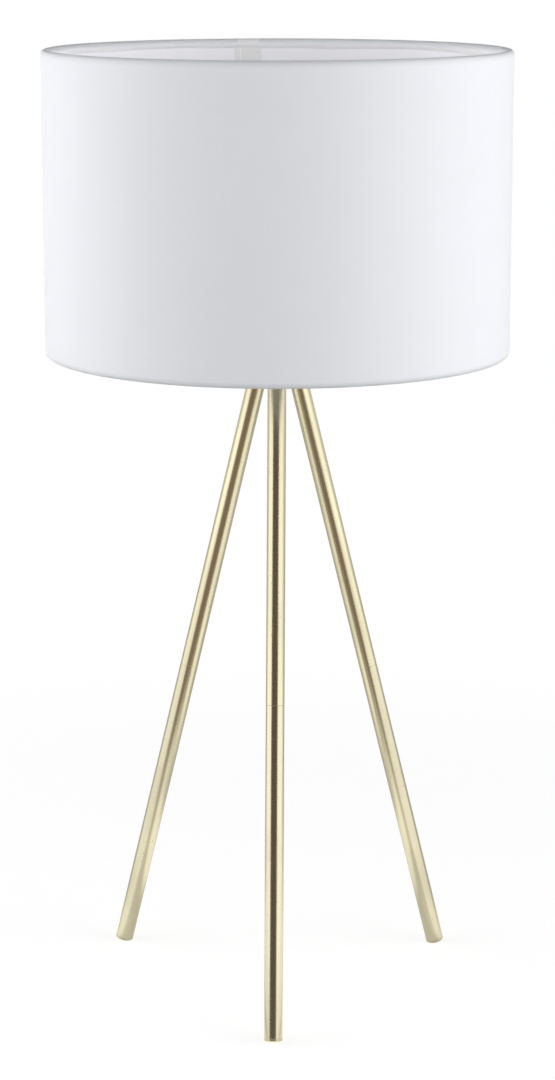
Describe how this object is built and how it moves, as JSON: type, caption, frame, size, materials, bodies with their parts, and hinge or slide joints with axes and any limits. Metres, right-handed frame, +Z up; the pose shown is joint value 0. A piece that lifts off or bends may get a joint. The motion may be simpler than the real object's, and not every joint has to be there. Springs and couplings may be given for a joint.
{
  "type": "tripod table lamp",
  "caption": "Table lamp with a white drum shade on a lampholder, standing on a tripod of slim brass tubes that meet in a hub under the shade.",
  "frame": {"origin": "on the table, at the centre of the bounding box's bottom, which is the lamp's vertical axis", "axes": "+Z up along the lamp's axis, -Y towards the front leg, +X towards the switch knob"},
  "size_m": [0.3, 0.3, 0.6196],
  "materials": {
    "tube_brass": "satin antique brass, brushed along the tube",
    "cap_brass": "satin antique brass end cap",
    "hub_brass": "turned satin antique brass",
    "holder_brass": "satin brass plate",
    "zinc_steel": "zinc plated turned steel",
    "contact_brass": "bare spring brass",
    "holder_ceramic": "unglazed white steatite",
    "switch_plastic": "dark brown moulded phenolic",
    "bush_plastic": "black nylon",
    "bulb_metal": "plated screw cap",
    "bulb_glass": "dark glass insulator",
    "bulb_plastic": "white moulded housing",
    "bulb_opal": "opal diffusing dome",
    "shade_cloth": "white polycotton plain weave",
    "shade_liner": "white laminated styrene liner",
    "shade_tape": "off-white lap of cloth and tape",
    "white_wire": "white powder coated wire and ring"
  },
  "bodies": {
    "stand": {"leg_upper_tube_front": "tube_brass", "leg_lower_tube_front": "tube_brass", "leg_top_plug_front": "zinc_steel", "leg_joint_stud_front": "zinc_steel", "leg_joint_insert_front": "zinc_steel", "leg_foot_cap_front": "cap_brass", "leg_upper_tube_right": "tube_brass", "leg_lower_tube_right": "tube_brass", "leg_top_plug_right": "zinc_steel", "leg_joint_stud_right": "zinc_steel", "leg_joint_insert_right": "zinc_steel", "leg_foot_cap_right": "cap_brass", "leg_upper_tube_left": "tube_brass", "leg_lower_tube_left": "tube_brass", "leg_top_plug_left": "zinc_steel", "leg_joint_stud_left": "zinc_steel", "leg_joint_insert_left": "zinc_steel", "leg_foot_cap_left": "cap_brass", "hub_body": "hub_brass", "cord_bush": "bush_plastic", "hollow_nipple": "zinc_steel", "lock_washer": "zinc_steel", "nipple_nut": "zinc_steel", "holder_cap": "holder_brass", "cap_grub_screw": "zinc_steel", "holder_body": "holder_brass", "holder_insulator": "holder_ceramic", "screw_shell": "contact_brass", "centre_contact": "contact_brass", "terminal_screws": "contact_brass", "switch_block": "switch_plastic", "switch_bushing": "holder_brass"},
    "shade": {"shade_fabric": "shade_cloth", "shade_liner": "shade_liner", "shade_seam": "shade_tape", "top_ring_wire": "white_wire", "bottom_ring_wire": "white_wire", "fitter_arms": "white_wire", "fitter_ring": "white_wire"},
    "ring_nut": {"shade_ring_nut": "holder_brass"},
    "bulb": {"bulb_tip": "bulb_metal", "bulb_insulator": "bulb_glass", "bulb_screw_cap": "bulb_metal", "bulb_housing": "bulb_plastic", "bulb_dome": "bulb_opal"},
    "knob": {"switch_shaft": "zinc_steel", "switch_knob": "switch_plastic"}
  },
  "joints": [
    {"name": "switch_turn", "type": "hinge", "parent": "stand", "child": "knob", "pos_m": [0.03, 0, 0.46199], "axis": [1, 0, 0], "continuous": true},
    {"name": "shade_swivel", "type": "hinge", "parent": "stand", "child": "shade", "pos_m": [0, 0, 0.47519], "axis": [0, 0, 1], "continuous": true},
    {"name": "ring_nut_turn", "type": "hinge", "parent": "stand", "child": "ring_nut", "pos_m": [0, 0, 0.48], "axis": [0, 0, 1], "continuous": true},
    {"name": "bulb_turn", "type": "hinge", "parent": "stand", "child": "bulb", "pos_m": [0, 0, 0.495], "axis": [0, 0, 1], "continuous": true}
  ]
}
